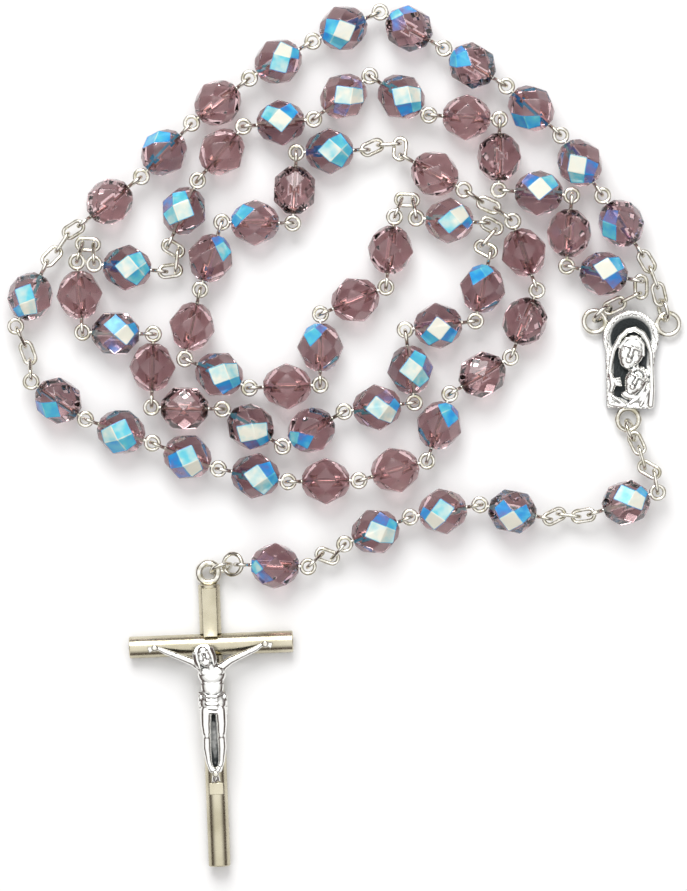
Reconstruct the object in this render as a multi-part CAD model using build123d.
from build123d import *
from math import asin, atan2, cos, degrees, pi, radians, sin
import os
import numpy as np

# A five-decade rosary laid flat, in millimetres. +Z is up, +Y is towards the top of the layout,
# and the floor it lies on is Z = 0.

# ---------------------------------------------------------------- beads and their eye pins
bead_diameter = 7.5       # across the corners of the widest row of facets
bead_length = 7.6         # along the bore
bead_bore = 1.0
facets_round = 6          # facets in one turn round the bore
end_share = 0.3           # the small flat round the bore, as a share of the bead's radius
pin_wire = 0.64
eye_diameter = 2.8        # over the wire
pin_neck = 0.1            # bare wire between the bead's end and the eye
eye_hook = 1.22           # how far the eyes of two beads reach into each other, between wire centres

# ---------------------------------------------------------------- chain links and jump rings
link_wire = 0.64
link_length = 4.3         # over the wire
link_width = 2.5
link_hook = 1.0           # how far a link reaches into its neighbour, between wire centres
slide = 0.2               # how much nearer or further than that two eyes may hang
ring_wire = 0.7
ring_diameter = 4.1
ring_hook = 1.3           # how far a jump ring reaches into an eye, the bail or another ring
lug_hook = 1.4            # and into a lug of the centrepiece
ring_lean = 72.0          # a jump ring beside the centrepiece leans this far up from the floor
chain_sag = 1.0           # how far the middle link of a chain hangs below the beads' bores

# ---------------------------------------------------------------- centrepiece
medal_height = 15.9
arch_width = 9.2
shoulder_width = 8.2
foot_width = 7.2
medal_thickness = 1.9
relief_height = 1.1       # how far the figures stand above the plate
rim_width = 0.55
lug_wire = 0.8
lug_diameter = 4.3
lug_height = 1.3          # the lugs' middle above the floor

# ---------------------------------------------------------------- crucifix
rod_diameter = 3.5
upright_length = 45.2
bar_length = 26.3
bar_drop = 9.65           # from the top of the upright to the middle of the bar
bail_wire = 1.2
bail_diameter = 4.3
title_length = 7.8
title_width = 2.2
title_thickness = 0.5
title_drop = 0.6          # from the top of the upright to the title plate
figure_span = 18.4        # between the nails of the two hands
figure_height = 20.6      # from the hands down to the sole of the feet
foot_block_length = 2.4
foot_block_width = 2.6
foot_block_height = 1.1
nail_diameter = 0.7
nail_head = 1.0
joint_gap = 0.02          # soldered pieces stay this far apart

# ---------------------------------------------------------------- how it lies
bead_gap = 0.35           # the least room between two beads that lie side by side
sharpest_bend = 90.0      # the most that two pieces in a row turn from each other
hook_room = 0.2           # the least room between a bead and the eyes of another strand
places_pitch = 11.54      # the pitch of two beads that the places below are given for
medal_turn = -2.0
cross_heading = -87.8

# Where the middle of each bead lies, from the middle of the layout, and which way it heads, bead by
# bead from the right of the centrepiece round to its left.
DECADES = [
    [(43.5, 35, 129), (36.5, 44, 127), (29, 52.5, 139), (20.5, 59.5, 150),
     (10.5, 65.5, 148), (0.5, 66, -159), (-10, 60, -147),
     (-20, 53.5, -141), (-28.5, 45.5, -130), (-37, 37, -135)],
    [(-45.5, 5.5, -33), (-35.5, 1, -18), (-24.5, -2.5, -23), (-14, -5.5, -16),
     (-2.5, -6.5, 2), (7, -5, 17), (14.5, 2, 62),
     (22, 9.5, 32), (28, 18.5, 69), (28.5, 29, 115)],
    [(-3, 45.5, -175), (-9.5, 40, -88), (-14, 33, -172), (-21.5, 28, -109),
     (-24, 18, -100), (-20, 11, -28), (-10.5, 9, 14),
     (-4, 14.5, 77), (2, 21.5, 32), (6.5, 29.5, 75)],
    [(22, 24, -117), (14.5, 18.5, -153), (10.5, 11.5, -88), (4.5, 5, -165),
     (-5.5, 2.5, -166), (-14.5, 2, 158), (-25, 5, 165),
     (-30, 12, 93), (-36, 17.5, 175), (-41.5, 23, 105)],
    [(-25.5, 37, 64), (-18.5, 44.5, 43), (-10, 49.5, 15), (0, 53.5, 35),
     (8.5, 54, -23), (19, 50.5, -13), (24.5, 44.5, -95),
     (30, 38.5, -2), (36, 32.5, -90), (41.5, 26.5, 3)],
]
OUR_FATHERS = [(-49.5, 21.5, -113), (13.5, 42.5, 150), (17.5, 35, -13),
               (-35.5, 28.5, 2), (45, -10.5, -162), (-11, -20.5, 177)]
HAIL_MARYS = [(26.5, -12, 170), (15.5, -12, -168), (5, -15, -157)]
# Where the middle link of each chain lies.
CHAIN_MIDDLES = [(-44.5, 29.5), (-50.5, 13), (21.5, 37.5), (7, 46.5),
                 (10.5, 37), (23.5, 31.5), (-43, 29.5), (-27.5, 29)]
SIDE_MIDDLES = {"right_side_chain": (48.9, 25.4), "left_side_chain": (44.8, 22.6)}
MEDAL_PLACE = (45.5, 12.5)
BAIL_PLACE = (-22.5, -22)

UPRIGHT, FLAT = "upright", "flat"
# Which way the first link of each chain lies, flat or upright.
FIRST_LINKS = [FLAT, UPRIGHT, UPRIGHT, FLAT, UPRIGHT, FLAT, UPRIGHT, FLAT]
# How many links each chain has: where the chains lie bunched, fewer are told apart.
CHAIN_LINKS = [3, 3, 3, 3, 3, 3, 3, 3]

# ---------------------------------------------------------------- worked out from the above
axis_height = bead_diameter / 2
eye_radius = (eye_diameter - pin_wire) / 2
eye_place = bead_length / 2 + pin_neck + eye_diameter / 2
link_radius = (link_width - link_wire) / 2
link_half = (link_length - link_width) / 2
ring_radius = (ring_diameter - ring_wire) / 2
lug_radius = (lug_diameter - lug_wire) / 2
bail_radius = (bail_diameter - bail_wire) / 2
rod_radius = rod_diameter / 2
pitch = 2 * eye_place + 2 * eye_radius - eye_hook
spread = pitch / places_pitch
bead_reach = bead_diameter / 2
hook_reach = eye_diameter / 2


def across(lie):
    return FLAT if lie == UPRIGHT else UPRIGHT


# ================================================================ the run of pieces
def unit(kind, body, lies, half=0.0, radius=0.0, tilt=0.0, place=None):
    """One rigid piece of the run: its two eyes are half from its middle and lie as lies says."""
    return dict(kind=kind, body=body, lies=list(lies), half=half, radius=radius,
                tilt=tilt, lean=90.0, place=place)


def bead_unit(body, place):
    return unit("bead", body, (UPRIGHT, FLAT), eye_place, eye_radius, place=place)


def chain_units(body, first, count=3, place=None):
    """A chain of links that lie flat and upright by turns."""
    links = []
    for number in range(count):
        lie = first if number % 2 == 0 else across(first)
        links.append(unit("link", body, (lie, lie), link_half, link_radius))
    links[count // 2]["place"] = place
    return links


def ring_unit(body, lie=UPRIGHT):
    return unit("ring", body, (lie, lie), 0.0, ring_radius)


def match_pins(units):
    """Every eye lies across the piece that hangs in it, so an eye pin follows its neighbours."""
    for one, other in zip(units, units[1:]):
        if one["lies"][1] == other["lies"][0]:
            pin, end = (one, 1) if one["kind"] == "bead" else (other, 0)
            pin["lies"][end] = across(pin["lies"][end])


def hang(units, climb):
    """Gives each link of one chain its slope: equal slopes if the chain climbs, or else down and up."""
    links = [u for u in units if u["kind"] in ("link", "ring")]
    if climb:
        reach = sum(2 * u["half"] for u in links)
        reach += sum(reach_between(a, b) for a, b in zip(links, links[1:]))
        for u in links:
            u["tilt"] = degrees(asin(climb / reach)) if u["kind"] == "link" else 0.0
        return
    ways = {1: (0,), 2: (-1, 1), 3: (-1, 0, 1)}
    for u, way in zip(links, ways[len(links)]):
        run = 2 * u["half"]
        if u["lies"][0] == FLAT:
            run += reach_between(u, bead_unit("", None)) + reach_between(u, u)
        u["tilt"] = way * degrees(asin(chain_sag / run))


def reach_between(one, other):
    """How far the middles of two eyes that hang in each other are apart."""
    kinds = {one["kind"], other["kind"]}
    if kinds == {"bead"}:
        hook = eye_hook
    elif kinds == {"lug", "ring"}:
        hook = lug_hook
    elif "ring" in kinds and "link" not in kinds:
        hook = ring_hook
    else:
        hook = link_hook
    return one["radius"] + other["radius"] - hook


def side_chain(body, from_medal):
    links = [ring_unit(body)] + chain_units(body, FLAT, place=SIDE_MIDDLES[body])
    hang(links, axis_height - ring_rest())
    if not from_medal:
        links.reverse()
        for u in links:
            u["tilt"] = -u["tilt"]
    return links


def ring_rest():
    """The height of the middle of a jump ring that leans against the floor."""
    return ring_radius * sin(radians(ring_lean)) + ring_wire / 2


def decade_units(decade):
    units = []
    for number, place in enumerate(DECADES[decade]):
        half = "first" if number < 5 else "last"
        units.append(bead_unit(f"decade_{decade + 1}_{half}_five", place))
    return units


def loop_units():
    """From the right lug of the centrepiece round the five decades to its left lug."""
    units = side_chain("right_side_chain", True)
    for decade in range(5):
        units += decade_units(decade)
        if decade == 4:
            break
        name = f"our_father_{decade + 1}"
        for number, side in ((2 * decade, "before"), (2 * decade + 1, "after")):
            links = chain_units(f"chain_{side}_{name}", FIRST_LINKS[number], CHAIN_LINKS[number],
                                CHAIN_MIDDLES[number])
            hang(links, 0.0)
            units += links
            if side == "before":
                units.append(bead_unit(name, OUR_FATHERS[decade]))
    units += side_chain("left_side_chain", False)
    match_pins(units)
    return units


def pendant_units():
    """From the lower lug of the centrepiece to the ring that carries the crucifix."""
    units = [ring_unit("pendant_top_chain")] + chain_units("pendant_top_chain", FLAT, 4)
    hang(units, axis_height - ring_rest())
    units.append(bead_unit("our_father_5", OUR_FATHERS[4]))
    links = chain_units("pendant_middle_chain", FLAT)
    hang(links, 0.0)
    units += links
    units += [bead_unit(f"hail_mary_{n + 1}", place) for n, place in enumerate(HAIL_MARYS)]
    links = chain_units("pendant_lower_chain", UPRIGHT)
    hang(links, 0.0)
    units += links
    units.append(bead_unit("our_father_6", OUR_FATHERS[5]))
    rings = [ring_unit("crucifix_rings", FLAT), ring_unit("crucifix_rings", UPRIGHT)]
    reach = reach_between(rings[0], units[-1]) + reach_between(*rings)
    rings[0]["tilt"] = -degrees(asin((axis_height - ring_rest()) / reach))
    units += rings
    match_pins(units)
    return units


# ================================================================ laying the run on the floor
def turned(point, angle):
    c, s = cos(radians(angle)), sin(radians(angle))
    return np.array([c * point[0] - s * point[1], s * point[0] + c * point[1]])


def lug_places():
    """The middles of the three lugs, from the middle of the foot of the centrepiece."""
    out = lug_diameter / 2 - lug_wire / 2
    side = arch_width / 2 + out * 0.75
    high = medal_height - 2.1
    return {"right": (side, high), "left": (-side, high), "lower": (0.0, -out)}


def medal_foot():
    middle = np.array(MEDAL_PLACE) * spread
    return middle + turned((0.0, -medal_height / 2), medal_turn)


def lug_on_floor(name):
    return medal_foot() + turned(lug_places()[name], medal_turn)


def gaps(run):
    """The level distance between the eyes at each meeting of two pieces, from end to end of a run."""
    ends = [unit(kind, "", (FLAT, FLAT), radius=radius) for kind, radius in run["ends"]]
    row = [ends[0]] + run["units"] + [ends[1]]
    found = []
    for one, other in zip(row, row[1:]):
        flat = one if one["lies"][1] == FLAT else other
        found.append(reach_between(one, other) * cos(radians(flat["tilt"])))
    return found


def measure(run):
    """For each piece, the level distance from its middle to the pivots at its two ends, and how much
    its neighbours may slide. A pivot is the middle of the flat one of the two eyes that meet there."""
    meet = gaps(run)
    for number, u in enumerate(run["units"]):
        half = u["half"] * cos(radians(u["tilt"]))
        u["before"] = half + (meet[number] if u["lies"][0] == UPRIGHT else 0.0)
        u["after"] = half + (meet[number + 1] if u["lies"][1] == UPRIGHT else 0.0)
        u["slides"] = u["lies"].count(UPRIGHT)


def wanted_pivots(u):
    """Where the pivots of a piece with a known place and heading are wanted."""
    middle = np.array(u["place"][:2]) * spread
    along = turned((1.0, 0.0), u["place"][2])
    return middle - u["before"] * along, middle + u["after"] * along


def first_guess(run, start, finish):
    """Pivots evenly spaced between the pieces whose places are known."""
    known = [(0.0, np.array(start, float))]
    walked = 0.0
    for u in run["units"]:
        length = u["before"] + u["after"]
        if u["kind"] == "bead":
            known += zip((walked + 0.01, walked + length - 0.01), wanted_pivots(u))
        elif u["place"] is not None:
            known.append((walked + length / 2, np.array(u["place"]) * spread))
        walked += length
    known.append((walked, np.array(finish, float)))
    along = np.cumsum([0.0] + [u["before"] + u["after"] for u in run["units"]])
    at = [k[0] for k in known]
    run["pivots"] = np.stack([np.interp(along, at, [k[1][i] for k in known]) for i in (0, 1)], axis=1)


def part_pairs(one, other, need, ignore):
    """Pairs of one and other that are nearer than they need to be, and how far each has to move."""
    apart = one[:, None] - other[None, :]
    far = np.linalg.norm(apart, axis=2) + 10 * need * ignore
    for m, n in np.argwhere(far < need):
        yield m, n, apart[m, n] / far[m, n] * (need - far[m, n]) / 2


def settle(runs, rounds=1500, firm=0.75):
    """Moves the pivots of all the runs until every piece has its length and keeps its distance from
    the others. For the firm share of the rounds each bead is also drawn to its place."""
    points = np.concatenate([r["pivots"] for r in runs])
    units = [u for r in runs for u in r["units"]]
    first, held, base = [], [], 0
    for r in runs:
        count = len(r["pivots"])
        first += range(base, base + count - 1)
        held += [base] + ([base + count - 1] if r["both_held"] else [])
        base += count
    first = np.array(first)
    free = np.ones((len(points), 1))
    free[held] = 0.0
    length = np.array([u["before"] + u["after"] for u in units])
    play = np.array([u["slides"] * slide for u in units])
    least, most = length - play, length + play
    beads = np.array([n for n, u in enumerate(units) if u["kind"] == "bead"])
    at = first[beads]
    share = np.array([units[n]["before"] / length[n] for n in beads])[:, None]
    wants = np.array([wanted_pivots(units[n]) for n in beads])
    loose = [(first[n], np.array(u["place"]) * spread) for n, u in enumerate(units)
             if u["kind"] == "link" and u["place"] is not None]
    order = np.arange(len(points))
    own = ((order[None, :] - at[:, None]) // 2 == 0).astype(float)
    near = (np.abs(order[:, None] - order[None, :]) < 3).astype(float)
    near = np.maximum(near, np.triu(np.ones_like(near)))
    same = np.triu(np.ones((len(beads), len(beads))))
    end = points[-1].copy()
    bends = np.array([m for m in range(len(units) - 1) if first[m + 1] == first[m] + 1])
    fold = cos(radians(sharpest_bend))
    chord = np.sqrt(length[bends]**2 + length[bends + 1]**2 + 2 * fold * length[bends] * length[bends + 1])
    bends = first[bends]
    for turn in range(rounds):
        draw = 0.2 * max(0.0, 1.0 - turn / (firm * rounds))
        pulls = np.zeros_like(points)
        np.add.at(pulls, at, draw * (wants[:, 0] - points[at]))
        np.add.at(pulls, at + 1, draw * (wants[:, 1] - points[at + 1]))
        for k, place in loose:
            pulls[[k, k + 1]] += draw / 2 * (place - (points[k] + points[k + 1]) / 2)
        pulls[-1] += draw * (end - points[-1])
        points += pulls * free
        middles = points[at] * (1 - share) + points[at + 1] * share
        moves = np.zeros_like(points)
        for m, n, push in part_pairs(middles, middles, 2 * bead_reach + bead_gap, same):
            moves[[at[m], at[m] + 1]] += push
            moves[[at[n], at[n] + 1]] -= push
        for m, n, push in part_pairs(middles, points, bead_reach + hook_reach + hook_room, own):
            moves[[at[m], at[m] + 1]] += push
            moves[n] -= push
        for m, n, push in part_pairs(points, points, 2 * hook_reach, near):
            moves[m] += push
            moves[n] -= push
        line = points[bends + 2] - points[bends]
        now = np.linalg.norm(line, axis=1)
        step = (0.5 * np.minimum(now - chord, 0) / np.maximum(now, 1e-6))[:, None] * line
        np.add.at(moves, bends, step)
        np.add.at(moves, bends + 2, -step)
        points += 0.6 * moves * free
        for part in (0, 1, 0, 1, 0, 1):
            a = first[part::2]
            line = points[a + 1] - points[a]
            now = np.linalg.norm(line, axis=1)
            over = now - np.clip(now, least[part::2], most[part::2])
            weight = np.maximum(free[a] + free[a + 1], 1)
            step = (over / np.maximum(now, 1e-6))[:, None] / weight * line
            points[a] += step * free[a]
            points[a + 1] -= step * free[a + 1]
    base = 0
    for r in runs:
        r["pivots"] = points[base:base + len(r["pivots"])]
        base += len(r["pivots"])


def stand(run):
    """Gives every piece of a run its middle, its heading and the middles of its two eyes."""
    before, level = None, None
    for number, u in enumerate(run["units"]):
        line = run["pivots"][number + 1] - run["pivots"][number]
        far = np.linalg.norm(line)
        if far > 1e-3:  # a flat round ring has both its pivots in its middle
            level = line / far
        u["heading"] = degrees(atan2(level[1], level[0]))
        slid = (far - u["before"] - u["after"]) / max(u["slides"], 1)
        start = u["before"] + (slid if u["lies"][0] == UPRIGHT else 0.0)
        middle = run["pivots"][number] + level * start
        half = u["half"] * cos(radians(u["tilt"]))
        rise = u["half"] * sin(radians(u["tilt"]))
        if u["kind"] == "bead":
            height = axis_height
        elif u["kind"] == "ring" and u["lies"][0] == UPRIGHT:
            height = ring_rest()
            u["lean"] = ring_lean
        else:
            flat = u if u["lies"][0] == FLAT else before
            bend = cos(radians(u["heading"] - before["heading"]))
            slope = sin(radians(flat["tilt"])) * bend
            height = before["end"][2] + reach_between(before, u) * slope + rise
        u["middle"] = np.array([*middle, height])
        u["start"] = u["middle"] - np.array([*(level * half), rise])
        u["end"] = u["middle"] + np.array([*(level * half), rise])
        before = u


def lay_out():
    lug, bail = ("lug", lug_radius), ("bail", bail_radius)
    loop = dict(units=loop_units(), both_held=True, ends=(lug, lug))
    pendant = dict(units=pendant_units(), both_held=False, ends=(lug, bail))
    for run in (loop, pendant):
        measure(run)
    first_guess(loop, lug_on_floor("right"), lug_on_floor("left"))
    first_guess(pendant, lug_on_floor("lower"), np.array(BAIL_PLACE) * spread)
    settle([loop, pendant])
    for run in (loop, pendant):
        stand(run)
    return loop, pendant


# ================================================================ shapes of the small pieces
def facet(*corners):
    return Face(Wire.make_polygon([Vector(*c) for c in corners], close=True))


def glass_bead():
    """A fire-polished bead with its bore along X: a row of square facets on their corners round the
    middle, a row of kites on each side, and kites and triangles up to the small end flats."""
    n = facets_round
    step = 2 * pi / n
    middle = (1.0, 0.0)
    upper = (cos(step / 2), sin(step / 2))
    rise = 0.8 * upper[1] / sin(pi / 6)
    outer = (1 - rise * (1 - upper[0] * cos(step / 2)) / upper[1], rise)
    slope = (outer[1] - upper[1]) / (upper[0] - outer[0] * cos(step / 2))
    end = (end_share, outer[1] + slope * (outer[0] * cos(step / 2) - end_share))
    wide, long = bead_diameter / 2, bead_length / 2 / end[1]

    def corner(ring, number, side):
        angle = number * step
        return (side * ring[1] * long, ring[0] * wide * cos(angle), ring[0] * wide * sin(angle))

    faces = []
    for k in range(n):
        faces.append(facet(corner(middle, k, 1), corner(upper, k + 0.5, 1),
                           corner(middle, k + 1, 1), corner(upper, k + 0.5, -1)))
        for side in (1, -1):
            faces.append(facet(corner(middle, k, 1), corner(upper, k + 0.5, side),
                               corner(outer, k, side), corner(upper, k - 0.5, side)))
            faces.append(facet(corner(upper, k + 0.5, side), corner(outer, k, side),
                               corner(end, k + 0.5, side), corner(outer, k + 1, side)))
            faces.append(facet(corner(outer, k, side), corner(end, k - 0.5, side),
                               corner(end, k + 0.5, side)))
    for side in (1, -1):
        faces.append(facet(*[corner(end, k + 0.5, side) for k in range(n)]))
    body = Solid(Shell(faces))
    bore = Cylinder(bead_bore / 2, 2 * bead_length, rotation=(0, 90, 0))
    return body - bore


def loop_of_wire(radius, wire, lie):
    ring = Torus(radius, wire / 2)
    return ring if lie == FLAT else Rot(90, 0, 0) * ring


def eye_pin(lies):
    """A straight wire along X with a closed eye at each end."""
    stem = Cylinder(pin_wire / 2, 2 * (eye_place - eye_radius), rotation=(0, 90, 0))
    for side, lie in zip((-1, 1), lies):
        stem += Pos(side * eye_place, 0, 0) * loop_of_wire(eye_radius, pin_wire, lie)
    return stem


def chain_link(lie):
    """An oval link of round wire, long along X."""
    path = SlotCenterToCenter(2 * link_half, 2 * link_radius).face().outer_wire()
    across_wire = Plane(origin=(0, -link_radius, 0), z_dir=(1, 0, 0)) * Circle(link_wire / 2)
    shape = sweep(across_wire, path=path)
    return shape if lie == FLAT else Rot(90, 0, 0) * shape


def jump_ring(lie):
    return loop_of_wire(ring_radius, ring_wire, lie)


def where(u):
    """The place of a piece: its middle, turned to its heading, sloped, and leaned if it leans."""
    lean = 90.0 - u["lean"]
    return Pos(*u["middle"]) * Rot(0, 0, u["heading"]) * Rot(0, -u["tilt"], 0) * Rot(lean, 0, 0)


def only_solid(shape):
    solids = shape.solids()
    return solids[0] if len(solids) == 1 else Compound(children=solids)


# ================================================================ centrepiece
def centrepiece():
    """The cast medal, with its foot's middle at the origin and its back on Z = 0."""
    arch = arch_width / 2
    top = medal_height - arch
    outline = Pos(0, top) * Circle(arch)
    outline += make_face(Polyline((-foot_width / 2, 0), (foot_width / 2, 0),
                                  (shoulder_width / 2, top - arch * 0.45),
                                  (-shoulder_width / 2, top - arch * 0.45), close=True))
    plate = extrude(outline, medal_thickness - rim_width)
    rim = extrude(outline, medal_thickness)
    field = extrude(Pos(0, top) * Circle(arch - rim_width), 2 * medal_thickness)
    plate += rim - field
    mantle = extrude(make_face(Polyline((-foot_width * 0.48, 0.1), (foot_width * 0.48, 0.1),
                                        (foot_width * 0.42, top * 0.75), (0, top + arch * 0.5),
                                        (-foot_width * 0.42, top * 0.75), close=True)),
                     medal_thickness)
    head = Pos(0, top - 0.2, medal_thickness) * Sphere(arch * 0.36)
    child = Pos(arch * 0.12, top * 0.5, medal_thickness) * Sphere(arch * 0.3)
    reach = medal_thickness + relief_height
    slab = Pos(0, medal_height / 2, reach / 2) * Box(2 * arch, medal_height * 1.2, reach)
    body = plate + mantle + (head & slab) + (child & slab)
    for place in lug_places().values():
        body += Pos(*place, lug_height) * Torus(lug_radius, lug_wire / 2)
    hole_room = lug_radius - lug_wire / 2
    for place in lug_places().values():
        body -= Pos(*place, 0) * Cylinder(hole_room, 4 * reach)
    return body


# ================================================================ crucifix
def crucifix():
    """The pieces of the crucifix, with the upright along -Y from the bail's middle at the origin.
    The rods rest on Z = 0."""
    r = rod_radius
    top = -(bail_diameter / 2 - 0.3)
    bar_y = top - bar_drop
    upright = Pos(0, top - upright_length / 2, r) * Cylinder(r, upright_length, rotation=(90, 0, 0))
    bar = Pos(0, bar_y, r) * Cylinder(r, bar_length, rotation=(0, 90, 0))
    upright = chamfer(upright.edges().filter_by(GeomType.CIRCLE), 0.15)
    bar = chamfer(bar.edges().filter_by(GeomType.CIRCLE), 0.15)
    # the rods cross in a halved joint: the bar keeps its upper half and the upright its lower half
    lap = rod_diameter + 2 * joint_gap
    upright -= Pos(0, bar_y, 2 * r) * Box(lap, lap, 2 * r + joint_gap)
    bar -= Pos(0, bar_y, 0) * Box(lap, lap, 2 * r + joint_gap)
    # the title plate sits in a flat cut across the top of the upright
    flat_depth = r - (r * r - (title_width / 2) ** 2) ** 0.5
    seat = 2 * r - flat_depth - joint_gap
    title_y = top - title_drop - title_length / 2
    upright -= Pos(0, title_y, seat + r / 2) * Box(2 * r, title_length + 2 * joint_gap, r)
    plate_z = seat + joint_gap + title_thickness / 2
    title = Pos(0, title_y, plate_z) * Box(title_width, title_length, title_thickness)
    title = chamfer(title.edges().filter_by(Axis.Z), 0.2)
    bail = Pos(0, 0, r) * Torus(bail_radius, bail_wire / 2)
    bail -= Pos(0, top - r, r) * Box(4 * r, 2 * r + 2 * joint_gap, 4 * r)
    figure, block, nails = corpus(bar_y, upright + bar)
    return dict(cross_upright=upright, cross_bar=bar, cross_bail=bail, title_plate=title,
                corpus=figure, foot_block=block, cross_nails=nails)


def limb(start, finish, thick, thin):
    """A tapering round limb between two points, with round ends."""
    line = Vector(*finish) - Vector(*start)
    cone = Solid.make_cone(thick, thin, line.length, Plane(origin=start, z_dir=line))
    return cone + Pos(*start) * Sphere(thick) + Pos(*finish) * Sphere(thin)


def corpus(bar_y, cross):
    """The cast figure, plain, with the block under its feet and the three nails."""
    top = 2 * rod_radius
    hand_y = bar_y + 0.5
    neck_y = hand_y - 3.4
    sole_y = hand_y - figure_height
    hip_y = neck_y - 6.6
    knee_y = (hip_y + sole_y) / 2 - 0.3
    over = top + 0.55
    body = limb((0, neck_y - 1.1, over + 0.35), (0, hip_y, over + 0.2), 1.55, 1.35)
    body += limb((0, neck_y, over), (-0.5, neck_y + 2.2, over + 1.1), 0.7, 1.3)
    for side in (-1, 1):
        body += limb((side * 1.2, neck_y - 0.4, over), (side * figure_span / 2, hand_y, over), 0.8, 0.55)
        body += limb((side * 0.8, hip_y, over + 0.2), (side * 0.85, knee_y, over + 0.4), 1.0, 0.7)
        body += limb((side * 0.85, knee_y, over + 0.4), (side * 0.55, sole_y + 0.8, over), 0.7, 0.6)
    room = Pos(0, bar_y, rod_radius) * Cylinder(rod_radius + joint_gap, bar_length, rotation=(0, 90, 0))
    room += Pos(0, bar_y - upright_length / 2, rod_radius) * Cylinder(
        rod_radius + joint_gap, 2 * upright_length, rotation=(90, 0, 0))
    room += Pos(0, bar_y, 0) * Box(2 * bar_length, 3 * upright_length, 2 * rod_radius)
    body -= room
    block_y = sole_y - foot_block_length / 2 - joint_gap
    block = Pos(0, block_y, top + foot_block_height / 2 - 0.3) * Box(
        foot_block_width, foot_block_length, foot_block_height + 0.6)
    block -= room
    nails = []
    spots = [(side * figure_span / 2, hand_y, over + 0.55) for side in (-1, 1)]
    spots.append((0, sole_y + 1.0, over + 0.3))
    for x, y, z in spots:
        shank = Pos(x, y, z - 0.38) * Cylinder(nail_diameter / 2, 0.76)
        head = Pos(x, y, z + 0.1) * Cylinder(nail_head / 2, 0.3)
        nail = shank + head
        body -= Pos(x, y, z) * Cylinder(nail_diameter / 2 + joint_gap, 6)
        body -= Pos(x, y, z + 1) * Cylinder(nail_head / 2 + joint_gap, 2.1 + 2 * joint_gap)
        nails.append(nail)
    return body, block, Compound(children=[only_solid(n) for n in nails])


# ================================================================ joints
def meeting_joint(one, other):
    """The hinge where two pieces of the pendant hang in each other: it lies across the upright eye,
    and goes through that eye's middle."""
    if other["lies"][0] == UPRIGHT:
        pivot, u = other["start"], other
    else:
        pivot, u = one["end"], one
    return pivot, (-sin(radians(u["heading"])), cos(radians(u["heading"])), 0.0)


def find_joints(loop, pendant):
    """(child, parent, pivot, axis) of every hinge along the two runs, and of every bead that spins.
    The main loop is closed, so each of its hinges runs from the meeting of two pieces to the place
    where the last jump ring hangs in the left lug: that place then stays where it is."""
    lugs = {name: np.array([*lug_on_floor(name), lug_height]) for name in ("right", "left")}
    closure = (loop["units"][-1]["middle"] + lugs["left"]) / 2
    joints = []
    for run in (loop, pendant):
        previous = None
        for u in run["units"]:
            parent = "centrepiece" if previous is None else previous["body"]
            if u["body"] != parent:
                if run is pendant:
                    hinge = (u["start"], (-sin(radians(u["heading"])), cos(radians(u["heading"])), 0.0))
                    if previous is not None:
                        hinge = meeting_joint(previous, u)
                else:
                    meeting = (u["start"] + (lugs["right"] if previous is None else previous["end"])) / 2
                    hinge = (meeting, (closure - meeting) / np.linalg.norm(closure - meeting))
                joints.append((u["body"], parent, *hinge))
            if u["body"].startswith(("our_father", "hail_mary")):
                along = (cos(radians(u["heading"])), sin(radians(u["heading"])), 0.0)
                joints.append((u["body"] + "_bead", u["body"], u["middle"], along))
            previous = u
    bail = np.array([*pendant["pivots"][-1], rod_radius])
    joints.append(("crucifix", "crucifix_rings", bail, (0.0, 0.0, 1.0)))
    return joints


# ================================================================ the whole rosary
def gather():
    """Every node with its shape, in the layout's own place, and which body each node belongs to."""
    loop, pendant = lay_out()
    bead = glass_bead()
    shapes = {}
    nodes, bodies = {}, {"centrepiece": ["centrepiece_medal"]}
    place = Pos(*medal_foot(), 0) * Rot(0, 0, medal_turn)
    nodes["centrepiece_medal"] = [place * centrepiece()]

    def add(node, body, shape):
        nodes.setdefault(node, []).append(shape)
        if node not in bodies.setdefault(body, []):
            bodies[body].append(node)

    def made(make, lies):
        key = (make.__name__, *lies)
        if key not in shapes:
            shapes[key] = make(lies) if len(lies) == 2 else make(lies[0])
        return shapes[key]

    for number, u in enumerate(loop["units"] + pendant["units"]):
        body = u["body"]
        if u["kind"] == "bead":
            alone = body.startswith(("our_father", "hail_mary"))
            glass = where(u) * Rot(spin_of(number), 0, 0) * bead
            add(body + ("_bead" if alone else "_beads"), body + ("_bead" if alone else ""), glass)
            pin = where(u) * made(eye_pin, u["lies"])
            add(body + ("_eye_pin" if alone else "_eye_pins"), body, pin)
        else:
            make = chain_link if u["kind"] == "link" else jump_ring
            add(body, body, where(u) * made(make, u["lies"][:1]))
    turn = Pos(*pendant["pivots"][-1], 0) * Rot(0, 0, cross_heading + 90)
    for node, shape in crucifix().items():
        add(node, "crucifix", turn * shape)
    return nodes, bodies, find_joints(loop, pendant), (loop, pendant)


def spin_of(number):
    """How far a bead is turned on its pin, which differs from bead to bead."""
    return number * 0.382 * 360 / facets_round % (360 / facets_round)


def floor_middle(nodes):
    """The middle of the layout's box, on the floor."""
    boxes = [shape.bounding_box() for shapes in nodes.values() for shape in shapes]
    low = [min(getattr(b.min, axis) for b in boxes) for axis in "XYZ"]
    high = [max(getattr(b.max, axis) for b in boxes) for axis in "XY"]
    return Vector((low[0] + high[0]) / 2, (low[1] + high[1]) / 2, low[2])


NODES, BODIES, JOINTS, RUNS = gather()
ORIGIN = floor_middle(NODES)

os.makedirs("parts", exist_ok=True)
for node, shapes in NODES.items():
    solids = [s for shape in shapes for s in (Pos(*-ORIGIN) * shape).solids()]
    shape = solids[0] if len(solids) == 1 else Compound(children=solids)
    export_step(shape, f"parts/{node}.step")
